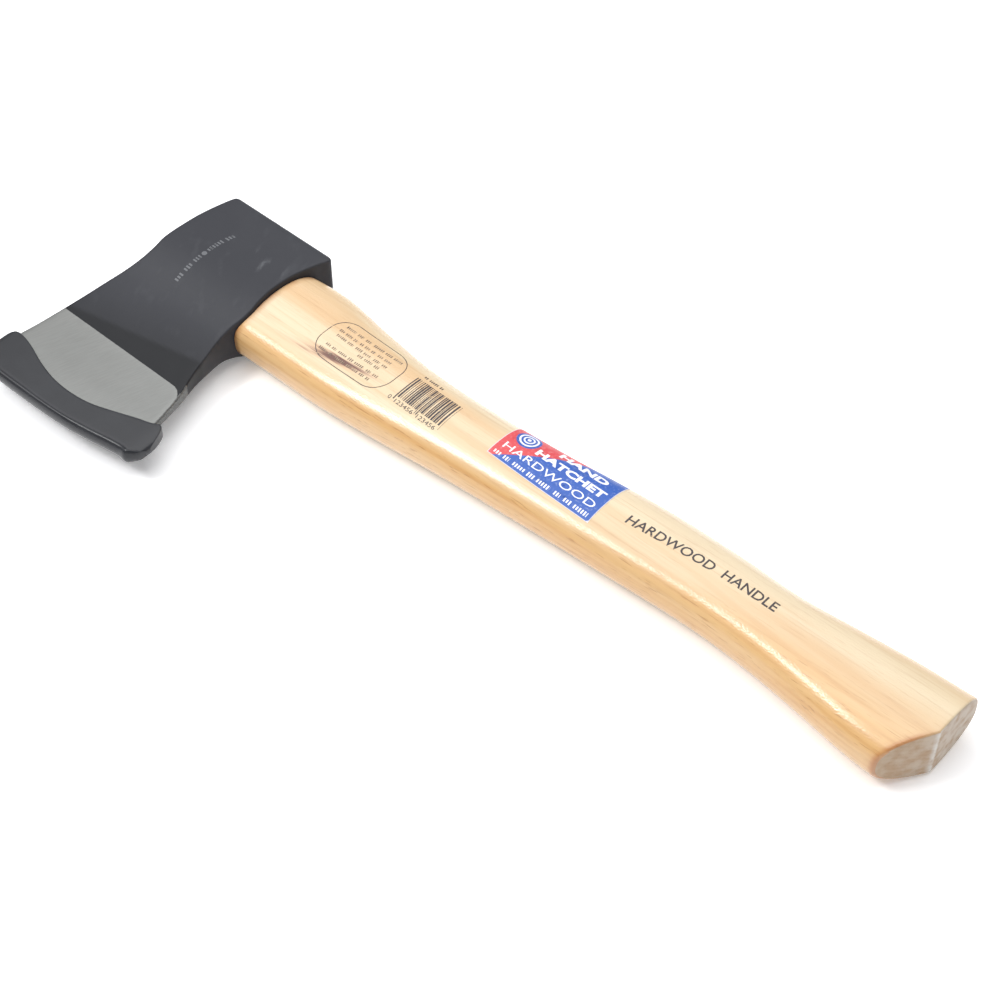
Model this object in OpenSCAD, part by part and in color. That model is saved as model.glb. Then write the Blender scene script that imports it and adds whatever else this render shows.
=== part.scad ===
// Hand hatchet: a forged head wedged on a curved hickory haft, with a rubber guard over the bit.
// The hatchet lies on its cheek. +X runs from the eye to the butt, +Y to the poll, +Z up.
// Every shape is first drawn from the middle of the eye, then moved so that the origin is
// the bottom centre of the whole hatchet's box.

/* [Head] */
// Half the thickness of the head across its flat cheeks
cheek_half = 13.8; // [12:0.1:16]
// From the middle of the eye to the flat face of the poll
poll_reach = 27.8; // [26:0.1:32]
// From the middle of the eye to the furthest point of the cutting edge
bit_reach = 96.9; // [90:0.1:105]
// Half the thickness left on the cutting edge
edge_half = 0.25; // [0.15:0.05:0.5]
// Radius that the curve of the cutting edge is swept to
edge_radius = 250; // [180:5:400]
// Radius of the rounded arrises of the poll and cheeks
arris = 1.3; // [0.5:0.1:2.5]

/* [Eye and wedges] */
// Half the width of the eye at its mouth, between the cheeks
eye_half = 9.6; // [7:0.1:10.5]
// End of the eye nearest to the poll
eye_back = 18.5; // [15:0.1:20]
// End of the eye nearest to the bit
eye_front = -22.5; // [-24:0.1:-18]
// How much wider the eye is at its far side than at its mouth
eye_flare = 1.12; // [1.05:0.01:1.15]
// Thickness of the wooden wedge at its head
wood_wedge_t = 4.2; // [3:0.1:6]
// Length driven into the haft by the wooden wedge
wood_wedge_depth = 38; // [25:1:45]
// Thickness of the steel wedge at its head
steel_wedge_t = 2.6; // [2:0.1:4]
// Length driven in by the steel wedge
steel_wedge_depth = 20; // [12:1:25]
// Width of the steel wedge across the haft
steel_wedge_w = 15; // [10:1:17]

/* [Haft] */
// From the middle of the eye to the end of the butt
haft_reach = 343; // [320:1:380]
// Half the thickness of the haft at its butt
butt_half = 12.6; // [11:0.1:13.5]
// Slope of the bevelled half of the butt, in millimetres along the haft for each one across
butt_slope = 0.62; // [0.4:0.01:0.9]
// How far the haft stands out of the far side of the eye
haft_proud = 1.2; // [0:0.1:3]

/* [Label] */
// Thickness of the paper label
label_t = 0.2; // [0.1:0.05:0.4]
// Where the label starts and ends along the haft, as a part of haft_reach
label_from = 0.418; // [0.3:0.001:0.45]
label_to = 0.566; // [0.5:0.001:0.7]

/* [Bit guard] */
// Half the thickness of the guard over its flat sides
guard_half = 2.9; // [2.7:0.1:4]
// Half the thickness of the bead along the guard's outer edge
bead_half = 3.5; // [3:0.1:5]
// Rubber beyond the cutting edge
guard_cover = 3; // [2:0.1:5]
// Gap between the slot of the guard and the steel
guard_gap = 0.3; // [0.2:0.05:0.6]

/* [Hidden] */

haft_sides = 48;            // points round a section of the haft
haft_rings = 62;            // sections along the haft
head_rings = 44;            // sections from the poll to the bit
poll_round = 2;             // radius of the edges of the poll's face
corner_n = 5;               // points on each rounded arris of the head
face_n = 9;                 // points between two arrises
guard_rings = 56;
shoulder = 23.6;            // the shoulder of the haft, just below the head
eye_top = -33;              // the far side of the head, at the eye
eye_overrun = 12;           // the eye's cutter runs past both sides of the head
edge_mid = -20;             // where the cutting edge reaches furthest
head_far = -45.2;           // the toe of the bit
head_near = 34.6;           // the heel of the bit
guard_toe = -47.4;
guard_heel = 40.3;
bow_start = 0.62;           // part of the way from poll to bit where the sections begin to curve

// The box of the whole hatchet, measured from the middle of the eye
box_low = [guard_toe, -bit_reach - guard_cover];
box_high = [haft_reach, poll_reach];
from_eye = [-(box_low.x + box_high.x) / 2, -(box_low.y + box_high.y) / 2, cheek_half];

// The head's outline and thickness from the poll to the bit:
// [part of the way, far edge x, near edge x, half thickness as a part of cheek_half]
HEAD = [
    [0.00, -27.6, 28.2, 1.00],
    [0.05, -29.6, 26.2, 1.00],
    [0.14, -31.9, 23.0, 1.00],
    [0.23, -32.8, 22.2, 1.00],
    [0.30, -33.0, 23.0, 1.00],
    [0.34, -32.7, 23.7, 0.92],
    [0.38, -33.2, 23.3, 0.76],
    [0.42, -34.3, 22.0, 0.625],
    [0.47, -36.0, 21.8, 0.48],
    [0.54, -37.9, 23.5, 0.38],
    [0.62, -39.6, 25.9, 0.28],
    [0.70, -41.3, 29.2, 0.20],
    [0.79, -42.8, 31.6, 0.155],
    [0.87, -44.3, 33.2, 0.13],
    [0.94, -45.2, 34.6, 0.085],
    [1.00, -43.6, 31.0, 0.00]
];

// The haft's sections: [part of haft_reach, front edge y, back edge y,
// half thickness as a part of butt_half, squareness of the section]
HAFT = [
    [0.06, -24.0, 21.8, 0.85, 2.9],
    [0.13, -24.2, 23.2, 0.88, 2.7],
    [0.20, -24.1, 18.4, 0.91, 2.5],
    [0.28, -22.0, 15.2, 0.91, 2.4],
    [0.38, -18.8, 15.2, 0.90, 2.3],
    [0.48, -16.4, 17.2, 0.90, 2.3],
    [0.60, -13.9, 21.3, 0.90, 2.3],
    [0.71, -11.9, 22.1, 0.92, 2.3],
    [0.79, -12.7, 21.3, 0.94, 2.4],
    [0.86, -15.4, 23.4, 0.96, 2.5],
    [0.93, -18.6, 25.4, 0.98, 2.6],
    [1.00, -19.6, 26.4, 1.00, 2.6]
];

// The guard: [x, inner edge y, outer edge y, fullness of the section]
GUARD = [
    [guard_toe, -87.0, -94.5, 0.45],
    [-46.9, -83.0, -97.2, 0.80],
    [-45.6, -80.0, -99.0, 0.98],
    [-42.0, -79.2, -99.6, 1.00],
    [-34.0, -81.0, -99.9, 1.00],
    [-25.0, -84.1, -99.9, 1.00],
    [-14.0, -86.6, -99.7, 1.00],
    [-3.0, -87.0, -99.3, 1.00],
    [7.0, -85.6, -98.6, 1.00],
    [17.0, -82.3, -97.2, 1.00],
    [26.0, -79.0, -95.6, 1.00],
    [32.0, -77.1, -94.8, 1.00],
    [35.6, -75.4, -95.0, 0.97],
    [37.6, -77.6, -93.4, 0.90],
    [39.4, -82.2, -90.9, 0.75],
    [guard_heel, -85.4, -88.0, 0.45]
];

// A smooth curve through the rows of a table, read at v in its first column
function row_at(rows, v, i = 0) =
    i + 2 >= len(rows) || v < rows[i + 1][0] ? i : row_at(rows, v, i + 1);
function slope_at(rows, i) =
    let (a = max(i - 1, 0), b = min(i + 1, len(rows) - 1))
    (rows[b] - rows[a]) / (rows[b][0] - rows[a][0]);
function curve(rows, v) =
    let (
        i = row_at(rows, v),
        w = rows[i + 1][0] - rows[i][0],
        t = (v - rows[i][0]) / w,
        t2 = t * t,
        t3 = t2 * t
    )
    (2 * t3 - 3 * t2 + 1) * rows[i] + (t3 - 2 * t2 + t) * w * slope_at(rows, i)
    + (3 * t2 - 2 * t3) * rows[i + 1] + (t3 - t2) * w * slope_at(rows, i + 1);

function power(v, p) = sign(v) * pow(abs(v), p);

// A closed skin over a list of rings that all have the same number of points
module skin(rings) {
    n = len(rings[0]);
    last = (len(rings) - 1) * n;
    sides = [
        for (i = [0 : len(rings) - 2], j = [0 : n - 1], half = [0, 1])
            let (a = i * n + j, b = i * n + (j + 1) % n)
            half == 0 ? [a, b, b + n] : [a, b + n, a + n]
    ];
    near_cap = [for (j = [n - 1 : -1 : 0]) j];
    far_cap = [for (j = [0 : n - 1]) last + j];
    polyhedron(points = [for (r = rings) each r], faces = concat(sides, [near_cap, far_cap]));
}

// ---- Head ----

// The cutting edge sweeps back from its furthest point
function bow(x) = pow(x - edge_mid, 2) / (2 * edge_radius);

// One section of the head, at part u of the way from poll to bit, drawn in by inset
function head_ring(u, inset) =
    let (
        row = curve(HEAD, u),
        lo = row[1] + inset,
        hi = row[2] - inset,
        half = max(min(row[3], 1) * cheek_half, edge_half) - inset,
        r = min(arris, half * 0.6),
        y = poll_reach - u * (poll_reach + bit_reach),
        bend = pow(max(0, (u - bow_start) / (1 - bow_start)), 1.3),
        arc = [for (k = [0 : corner_n - 1]) 90 * k / (corner_n - 1)],
        face = [for (k = [1 : face_n - 1]) lo + r + (hi - lo - 2 * r) * k / face_n],
        top = concat(
            [for (a = arc) [lo + r - r * cos(a), half - r + r * sin(a)]],
            [for (x = face) [x, half]],
            [for (a = arc) [hi - r + r * sin(a), half - r + r * cos(a)]]
        ),
        count = len(top),
        outline = concat(top, [for (k = [count - 1 : -1 : 0]) [top[k][0], -top[k][1]]])
    )
    [for (p = outline) [p[0], y + bend * bow(p[0]), p[1]]];

module head_blank() {
    span = poll_reach + bit_reach;
    skin(concat(
        [
            for (a = [0 : 22.5 : 90])
                head_ring(poll_round * (1 - cos(a)) / span, poll_round * (1 - sin(a)))
        ],
        [for (k = [2 : head_rings]) head_ring(k / head_rings, 0)]
    ));
}

// The tapered oval of the eye, wide at its far side
module eye_form() {
    taper = (eye_flare - 1) / (shoulder - eye_top);
    mid = (eye_back + eye_front) / 2;
    half = (eye_back - eye_front) / 2;
    rings = [
        for (x = [eye_top - eye_overrun, shoulder + eye_overrun])
            let (grow = 1 + taper * (shoulder - x))
            [for (k = [0 : haft_sides - 1])
                let (a = 360 * k / haft_sides)
                [
                    x,
                    mid + half * grow * power(cos(a), 0.8),
                    eye_half * grow * power(sin(a), 0.8)
                ]
            ]
    ];
    skin([for (r = rings) [for (k = [haft_sides - 1 : -1 : 0]) r[k]]]);
}

module axe_head() {
    color("#47494d")
        translate(from_eye)
            difference() {
                head_blank();
                eye_form();
            }
}

// ---- Haft and wedges ----

// A point of the haft's surface at part u along it and angle a round it
function haft_point(u, a, skin_t = 0) =
    let (
        row = curve(HAFT, u),
        half_y = (row[2] - row[1]) / 2 + skin_t,
        half_z = row[3] * butt_half + skin_t,
        p = 2 / row[4]
    )
    [u * haft_reach, (row[1] + row[2]) / 2 + half_y * power(cos(a), p), half_z * power(sin(a), p)];

function haft_u(i) = HAFT[0][0] + (1 - HAFT[0][0]) * i / haft_rings;
function haft_a(k) = 360 * k / haft_sides;
function haft_ring(i) = [for (k = [haft_sides : -1 : 1]) haft_point(haft_u(i), haft_a(k))];

// The grip runs a little way into the head, which is then cut out of it
module grip() {
    skin([for (i = [0 : haft_rings]) haft_ring(i)]);
}

// What is left of the butt: square across at the back half and bevelled at the front half
module butt_form() {
    fall = 40;
    wide = 60;
    linear_extrude(height = wide, center = true)
        polygon([
            [eye_top - eye_overrun, -wide],
            [haft_reach - butt_slope * fall, -fall],
            [haft_reach, 0],
            [haft_reach, wide],
            [eye_top - eye_overrun, wide]
        ]);
}

// A wedge that is t thick at its head and driven in along +X
module wedge_form(t, tip, depth, w) {
    linear_extrude(height = w, center = true)
        polygon([[0, -t / 2], [depth, -tip / 2], [depth, tip / 2], [0, t / 2]]);
}

module wood_wedge_form() {
    translate([eye_top - haft_proud, (eye_back + eye_front) / 2, 0])
        rotate([90, 0, 0])
            wedge_form(wood_wedge_t, 0.8, wood_wedge_depth, 2 * eye_back + 20);
}

module steel_wedge_form() {
    translate([eye_top - haft_proud, 2, 0])
        wedge_form(steel_wedge_t, 0.5, steel_wedge_depth, steel_wedge_w);
}

// The part of the eye that the haft fills
module tenon_form() {
    intersection() {
        eye_form();
        translate([eye_top - haft_proud, -40, -20])
            cube([shoulder + 3 - eye_top + haft_proud, 80, 40]);
    }
}

module haft() {
    color("#e6c79a")
        translate(from_eye)
            difference() {
                union() {
                    difference() {
                        intersection() {
                            grip();
                            butt_form();
                        }
                        head_blank();
                    }
                    tenon_form();
                }
                wood_wedge_form();
                steel_wedge_form();
            }
}

module wood_wedge() {
    color("#c99a63")
        translate(from_eye)
            difference() {
                intersection() {
                    wood_wedge_form();
                    tenon_form();
                }
                steel_wedge_form();
            }
}

module steel_wedge() {
    color("#8a8c8e") translate(from_eye) steel_wedge_form();
}

// ---- Label ----

module paper_label() {
    first = round((label_from - HAFT[0][0]) / (1 - HAFT[0][0]) * haft_rings);
    final = round((label_to - HAFT[0][0]) / (1 - HAFT[0][0]) * haft_rings);
    from_k = 2;
    to_k = 16;
    color("#2f4fa8")
        translate(from_eye)
            skin([
                for (i = [first : final])
                    concat(
                        [for (k = [from_k : to_k]) haft_point(haft_u(i), haft_a(k))],
                        [for (k = [to_k : -1 : from_k]) haft_point(haft_u(i), haft_a(k), label_t)]
                    )
            ]);
}

// ---- Bit guard ----

function guard_ring(x) =
    let (
        row = curve(GUARD, x),
        lip = row[1],
        out = row[2],
        h = guard_half * row[3],
        b = bead_half * row[3],
        room = min(1, (lip - out) / 12),
        top = [
            [lip, h * 0.55],
            [lip - 0.4 * room, h * 0.9],
            [lip - 1.3 * room, h],
            [(lip + out) / 2, h],
            [out + 5.4 * room, h],
            [out + 4.2 * room, (h + b) / 2],
            [out + 3.0 * room, b],
            [out + 1.7 * room, b * 0.94],
            [out + 0.6 * room, b * 0.7],
            [out, b * 0.28]
        ],
        count = len(top)
    )
    concat(
        [for (p = top) [x, p[0], -p[1]]],
        [for (k = [count - 1 : -1 : 0]) [x, top[k][0], top[k][1]]]
    );

// The slot that the bit sits in, open towards the poll
module guard_slot() {
    lo = head_far - guard_gap;
    hi = head_near + guard_gap;
    root = 1.95 + guard_gap;
    mouth = -68;
    waist = -78;
    skin([
        for (k = [0 : 24])
            let (
                x = lo + (hi - lo) * k / 24,
                bottom = -bit_reach + bow(x) - guard_gap
            )
            [
                [x, mouth, -root - 0.6],
                [x, waist, -root],
                [x, bottom, -edge_half - guard_gap],
                [x, bottom, edge_half + guard_gap],
                [x, waist, root],
                [x, mouth, root + 0.6]
            ]
    ]);
}

module bit_guard() {
    ease = [for (k = [0 : guard_rings]) (1 - cos(180 * k / guard_rings)) / 2];
    color("#3c3e42")
        translate(from_eye)
            difference() {
                skin([
                    for (e = ease)
                        guard_ring(guard_toe + (guard_heel - guard_toe) * e)
                ]);
                guard_slot();
            }
}

axe_head();
haft();
wood_wedge();
steel_wedge();
paper_label();
bit_guard();
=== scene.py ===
"""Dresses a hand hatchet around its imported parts.

The hatchet is a forged head wedged on a hickory haft, with a label and ink stamps on the wood and a
rubber guard pulled over the bit. Every size is in millimetres from the middle of the eye: +X to the
butt, +Y to the poll and +Z up out of the upper cheek. One function turns a shape into metres in the
row frame.
"""
import logging
import math
import random
from collections.abc import Callable, Sequence
from dataclasses import dataclass, field
from enum import Enum
from functools import lru_cache

import bmesh
import bpy
from bmesh.types import BMesh, BMFace, BMVert
from mathutils import Matrix, Vector


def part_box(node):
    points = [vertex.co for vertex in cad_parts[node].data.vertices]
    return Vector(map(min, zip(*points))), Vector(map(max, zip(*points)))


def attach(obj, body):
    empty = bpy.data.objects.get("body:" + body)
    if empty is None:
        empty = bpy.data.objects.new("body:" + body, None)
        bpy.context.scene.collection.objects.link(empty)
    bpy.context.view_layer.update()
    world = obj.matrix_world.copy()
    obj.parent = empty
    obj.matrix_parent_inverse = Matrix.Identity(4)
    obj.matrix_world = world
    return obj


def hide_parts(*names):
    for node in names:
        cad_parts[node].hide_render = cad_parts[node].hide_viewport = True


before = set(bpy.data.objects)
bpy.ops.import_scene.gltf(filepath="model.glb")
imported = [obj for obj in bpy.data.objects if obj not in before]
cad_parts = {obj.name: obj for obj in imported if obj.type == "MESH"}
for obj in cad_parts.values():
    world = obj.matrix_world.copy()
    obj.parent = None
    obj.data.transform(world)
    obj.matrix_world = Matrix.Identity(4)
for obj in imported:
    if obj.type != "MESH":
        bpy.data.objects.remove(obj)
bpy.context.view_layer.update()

log = logging.getLogger("hatchet")

MM = 0.001
Row = tuple[float, ...]
Place = Callable[[float, float], Vector]

POLL_REACH = 27.8  # from the middle of the eye to the face of the poll
BIT_REACH = 96.9  # from the middle of the eye to the furthest point of the edge
CHEEK_HALF = 13.8  # half the thickness of the head
HAFT_REACH = 343.0  # from the middle of the eye to the end of the butt
EYE_BACK = 18.5
EYE_FRONT = -22.5
EYE_HALF = 9.6
EYE_TOP = -33.0  # the far side of the head, at the eye
SHOULDER = 23.6  # the haft's shoulder, just below the head


class Body(Enum):
    """The two bodies that pieces ride on."""

    HATCHET = "hatchet"
    GUARD = "guard"


# ---- Shapes shared by the parts ----


def eye_middle() -> Vector:
    """Returns the middle of the eye in metres in the row frame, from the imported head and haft."""
    head_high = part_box("axe_head")[1]
    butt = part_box("haft")[1].x
    return Vector((butt - HAFT_REACH * MM, head_high.y - POLL_REACH * MM, head_high.z / 2))


def curve(rows: Sequence[Row], at: float) -> Row:
    """Reads a smooth curve through the rows of a table.

    Args:
        rows: Rows that rise in their first column.
        at: Where to read it, in the first column's terms.

    Returns:
        The row at that place.
    """
    last = len(rows) - 1
    i = next((k for k in range(last) if at < rows[k + 1][0]), last - 1)
    width = rows[i + 1][0] - rows[i][0]
    t = (at - rows[i][0]) / width

    def slope(k: int, column: int) -> float:
        """Gives the slope of a column at row k."""
        a, b = max(k - 1, 0), min(k + 1, last)
        return (rows[b][column] - rows[a][column]) / (rows[b][0] - rows[a][0])

    return tuple(
        (2 * t**3 - 3 * t**2 + 1) * rows[i][c]
        + (t**3 - 2 * t**2 + t) * width * slope(i, c)
        + (3 * t**2 - 2 * t**3) * rows[i + 1][c]
        + (t**3 - t**2) * width * slope(i + 1, c)
        for c in range(len(rows[0]))
    )


def power(value: float, exponent: float) -> float:
    """Raises a number's size to a power and keeps its sign."""
    return math.copysign(abs(value) ** exponent, value)


def smoothed(low: float, high: float, value: float) -> float:
    """Rises smoothly from 0 at low to 1 at high."""
    t = min(max((value - low) / (high - low), 0.0), 1.0)
    return t * t * (3 - 2 * t)


class Loft:
    """A tube that grows ring by ring, by extruding the edges of its last ring."""

    def __init__(self, first: Sequence[Vector]) -> None:
        """Starts a tube.

        Args:
            first: The corners of the first ring, in order.
        """
        self.bm = bmesh.new()
        made = bmesh.ops.create_circle(self.bm, cap_ends=False, segments=len(first), radius=1.0)
        self.ring: list[BMVert] = list(made["verts"])
        self.first = list(self.ring)
        self._place(first)

    def _place(self, corners: Sequence[Vector]) -> None:
        """Moves the last ring's corners to their places."""
        for vert, corner in zip(self.ring, corners):
            vert.co = corner

    def grow(self, corners: Sequence[Vector]) -> None:
        """Adds one ring.

        Args:
            corners: The new ring's corners, in the first ring's order.
        """
        after = self.ring[1:] + self.ring[:1]
        edges = [self.bm.edges.get((a, b)) for a, b in zip(self.ring, after)]
        made = bmesh.ops.extrude_edge_only(self.bm, edges=edges)
        fresh = {item for item in made["geom"] if isinstance(item, BMVert)}
        self.ring = [
            next(e.other_vert(v) for e in v.link_edges if e.other_vert(v) in fresh) for v in self.ring
        ]
        self._place(corners)

    def cap(self, ring: Sequence[BMVert]) -> BMFace:
        """Closes a ring with one face and returns it."""
        return self.bm.faces.new(ring)


def carve(body: BMesh, tool: BMesh) -> BMesh:
    """Cuts one closed shape out of another, and frees both.

    Args:
        body: The shape that is cut.
        tool: The shape that is taken away.

    Returns:
        What is left.
    """
    objects = []
    for name, shape in (("blank", body), ("tool", tool)):
        bmesh.ops.recalc_face_normals(shape, faces=shape.faces)
        mesh = bpy.data.meshes.new(name)
        shape.to_mesh(mesh)
        shape.free()
        objects.append(bpy.data.objects.new(name, mesh))
        bpy.context.scene.collection.objects.link(objects[-1])
    cut = objects[0].modifiers.new("cut", "BOOLEAN")
    cut.operation = "DIFFERENCE"
    cut.solver = "EXACT"
    cut.object = objects[1]
    graph = bpy.context.evaluated_depsgraph_get()
    left = bpy.data.meshes.new_from_object(objects[0].evaluated_get(graph))
    result = bmesh.new()
    result.from_mesh(left)
    spent = [obj.data for obj in objects] + [left]
    for obj in objects:
        bpy.data.objects.remove(obj)
    for mesh in spent:
        bpy.data.meshes.remove(mesh)
    return result


def mark(bm: BMesh, name: str, value: Callable[[Vector], float]) -> None:
    """Writes a number on every corner of a mesh, for its material to read.

    Args:
        bm: The mesh, still in millimetres from the eye.
        name: The attribute's name.
        value: Gives the number for a place.
    """
    layer = bm.verts.layers.float.new(name)
    for vert in bm.verts:
        vert[layer] = value(vert.co)


@dataclass(frozen=True)
class Piece:
    """What a finished mesh is called and what it belongs to."""

    name: str
    body: Body
    slot: str | None = None
    stands_for: tuple[str, ...] = ()
    crease: float = 32.0  # degrees between faces at which an edge is shaded sharp

    def settle(self, bm: BMesh, finishes: Sequence[bpy.types.Material]) -> bpy.types.Object:
        """Turns a shape in millimetres into an object in the row frame that rides on its body.

        Args:
            bm: The shape, which is freed.
            finishes: The materials, in the order of the faces' material numbers.

        Returns:
            The object.
        """
        bmesh.ops.recalc_face_normals(bm, faces=bm.faces)
        for face in bm.faces:
            face.smooth = True
        for edge in bm.edges:
            edge.smooth = edge.calc_face_angle(0.0) < math.radians(self.crease)
        in_place = Matrix.Translation(eye_middle()) @ Matrix.Scale(MM, 4)
        bmesh.ops.transform(bm, matrix=in_place, verts=bm.verts)
        mesh = bpy.data.meshes.new(self.name)
        bm.to_mesh(mesh)
        bm.free()
        for finish in finishes:
            mesh.materials.append(finish)
        obj = bpy.data.objects.new(self.name, mesh)
        bpy.context.scene.collection.objects.link(obj)
        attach(obj, self.body.value)
        if self.stands_for:
            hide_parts(*self.stands_for)
        log.info("%s: %d faces", self.name, len(mesh.polygons))
        return obj


# ---- Finishes ----


def linear(colour: str) -> tuple[float, float, float, float]:
    """Turns an sRGB hex colour into linear red, green and blue, with an alpha of 1."""
    parts = [int(colour[k : k + 2], 16) / 255 for k in (1, 3, 5)]
    red, green, blue = (c / 12.92 if c <= 0.04045 else ((c + 0.055) / 1.055) ** 2.4 for c in parts)
    return (red, green, blue, 1.0)


def add_node(
    tree: bpy.types.NodeTree,
    kind: str,
    settings: dict[str, object] | None = None,
    inputs: dict[str | int, object] | None = None,
) -> bpy.types.Node:
    """Adds one node to a material.

    Args:
        tree: The material's nodes.
        kind: The node's type without its ShaderNode prefix.
        settings: The node's own properties.
        inputs: A value or another node's output for each input, by name or number.

    Returns:
        The node.
    """
    node = tree.nodes.new("ShaderNode" + kind)
    for name, value in (settings or {}).items():
        setattr(node, name, value)
    for name, value in (inputs or {}).items():
        if isinstance(value, bpy.types.NodeSocket):
            tree.links.new(value, node.inputs[name])
        else:
            node.inputs[name].default_value = value
    return node


MIX_A = 6  # the colour inputs of a Mix node that mixes colours
MIX_B = 7
MIX_OUT = 2
COLOURS = {"data_type": "RGBA"}


class Recipe:
    """A material while its nodes are being laid out."""

    def __init__(self, name: str) -> None:
        """Starts an empty material with the piece's own coordinates in metres."""
        self.material = bpy.data.materials.new(name)
        self.material.use_nodes = True
        self.tree = self.material.node_tree
        self.tree.nodes.clear()
        self.place = add_node(self.tree, "TexCoord").outputs["Object"]

    def grain(self, turn: Row, stretch: Row, scale: float, detail: float) -> bpy.types.NodeSocket:
        """Lays noise that is drawn out along an axis.

        Args:
            turn: Degrees that the pattern is turned about X, Y and Z.
            stretch: The pattern's fineness along X, Y and Z, as a part of scale.
            scale: Features per metre.
            detail: Octaves of finer noise.

        Returns:
            The noise, from 0 to 1.
        """
        mapped = add_node(
            self.tree,
            "Mapping",
            {"vector_type": "TEXTURE"},
            {
                "Vector": self.place,
                "Rotation": tuple(math.radians(t) for t in turn),
                "Scale": tuple(1 / s for s in stretch),
            },
        )
        noise = add_node(
            self.tree,
            "TexNoise",
            inputs={"Vector": mapped.outputs[0], "Scale": scale, "Detail": detail},
        )
        return noise.outputs["Fac"]

    def ramp(self, value: bpy.types.NodeSocket, low: float, high: float) -> bpy.types.NodeSocket:
        """Rises smoothly from 0 to 1 as value goes from low to high."""
        node = add_node(
            self.tree,
            "MapRange",
            {"interpolation_type": "SMOOTHSTEP"},
            {"Value": value, "From Min": low, "From Max": high},
        )
        return node.outputs[0]

    def mix(
        self,
        share: bpy.types.NodeSocket | float,
        first: bpy.types.NodeSocket | Row,
        second: bpy.types.NodeSocket | Row,
        way: str = "MIX",
    ) -> bpy.types.NodeSocket:
        """Mixes the second colour over the first by share."""
        settings = COLOURS | {"blend_type": way}
        node = add_node(self.tree, "Mix", settings, {0: share, MIX_A: first, MIX_B: second})
        return node.outputs[MIX_OUT]

    def wash(
        self,
        colour: bpy.types.NodeSocket | Row,
        over: str,
        where: bpy.types.NodeSocket,
        strength: bpy.types.NodeSocket | float = 1.0,
    ) -> bpy.types.NodeSocket:
        """Washes a hex colour over another.

        Args:
            colour: The colour underneath.
            over: The hex colour of the wash.
            where: Where it lies, from 0 to 1.
            strength: How much of it covers at most.

        Returns:
            The washed colour.
        """
        return self.mix(self.sums("MULTIPLY", where, strength), colour, linear(over))

    def sums(self, way: str, first: object, second: object, third: object = 0.0) -> bpy.types.NodeSocket:
        """Works out one step of arithmetic."""
        inputs: dict[str | int, object] = {0: first, 1: second}
        if way == "MULTIPLY_ADD":
            inputs[2] = third
        return add_node(self.tree, "Math", {"operation": way}, inputs).outputs[0]

    def bump(self, height: bpy.types.NodeSocket, depth: float, strength: float) -> bpy.types.NodeSocket:
        """Turns a height from 0 to 1 into a normal, with its full depth in metres."""
        inputs: dict[str | int, object] = {"Height": height, "Distance": depth, "Strength": strength}
        return add_node(self.tree, "Bump", inputs=inputs).outputs[0]

    def attribute(self, name: str) -> bpy.types.NodeSocket:
        """Reads a number that the mesh carries."""
        return add_node(self.tree, "Attribute", {"attribute_name": name}).outputs["Fac"]

    def finish(self, inputs: dict[str | int, object]) -> bpy.types.Material:
        """Ends the material in one shader with these inputs, and returns it."""
        shader = add_node(self.tree, "BsdfPrincipled", inputs=inputs)
        add_node(self.tree, "OutputMaterial", inputs={"Surface": shader.outputs[0]})
        return self.material


@dataclass(frozen=True)
class LacqueredForging:
    """Drop-forged steel under satin black lacquer, ground bare by the bit.

    The lacquer gives a soft grey sheen with faint rubbed marks and thin worn arrises. The ground strip
    gives a cooler, brighter grey drawn with fine parallel lines.
    """

    lacquer: str = "#323338"
    # painted shade: the darker band above the ground strip, where the cheek turns into its bevel
    bevel_shade: str = "#17181B"
    rubbed: str = "#45464A"
    scuff: str = "#7E8084"
    steel: str = "#818280"
    steel_dark: str = "#7A7B79"
    steel_bright: str = "#868785"
    lacquer_rough: float = 0.44
    steel_rough: float = 0.5
    shine: float = 0.22  # how strongly the satin lacquer mirrors
    wheel_angle: float = -19.0  # degrees that the grinding lines stand off the line from poll to bit

    def make(self) -> bpy.types.Material:
        """Returns the material."""
        r = Recipe("lacquered_forging")
        # Grinding lines are 0.2 mm apart on the real bit; these are 0.4 mm, so that they show.
        lines = r.grain((0, 0, self.wheel_angle), (1.0, 0.045, 1.0), 2500, 2)
        cloud = r.grain((0, 0, 0), (1, 1, 1), 45, 4)
        patch = r.grain((0, 0, 25), (1, 0.5, 1), 150, 5)
        grit = r.grain((0, 0, 0), (1, 1, 1), 1900, 2)
        # The grinding lines feather the lacquer's edge by a tenth of a millimetre or so.
        feather = r.sums("MULTIPLY_ADD", r.sums("SUBTRACT", lines, 0.5), 0.25, r.attribute("bare"))
        bare = r.ramp(feather, -0.12, 0.12)
        worn = r.ramp(add_node(r.tree, "NewGeometry").outputs["Pointiness"], 0.53, 0.58)
        coat = r.wash(linear(self.lacquer), self.rubbed, r.ramp(cloud, 0.42, 0.72), 0.10)
        coat = r.wash(coat, self.scuff, r.ramp(patch, 0.55, 0.72), r.attribute("handled"))
        # Painted shade: a darker band just above the ground strip, where the cheek turns into its bevel.
        coat = r.wash(coat, self.bevel_shade, r.attribute("bevel_shade"), 0.95)
        coat = r.wash(coat, self.rubbed, worn, 0.12)
        ground = r.mix(r.ramp(lines, 0.3, 0.7), linear(self.steel_dark), linear(self.steel))
        ground = r.wash(ground, self.steel_bright, r.ramp(cloud, 0.35, 0.65), 0.25)
        colour = r.mix(bare, coat, ground)
        lacquer_rough = r.sums("MULTIPLY_ADD", patch, 0.16, self.lacquer_rough - 0.08)
        steel_rough = r.sums("MULTIPLY_ADD", lines, 0.12, self.steel_rough - 0.06)
        rough = add_node(r.tree, "Mix", inputs={0: bare, 2: lacquer_rough, 3: steel_rough}).outputs[0]
        scratches = r.sums("MULTIPLY", lines, 0.2)
        height = add_node(r.tree, "Mix", inputs={0: bare, 2: grit, 3: scratches}).outputs[0]
        return r.finish(
            {
                "Base Color": colour,
                "Metallic": bare,
                "Roughness": rough,
                "Specular IOR Level": self.shine,
                "Normal": r.bump(height, 0.00004, 0.55),
            }
        )


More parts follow.
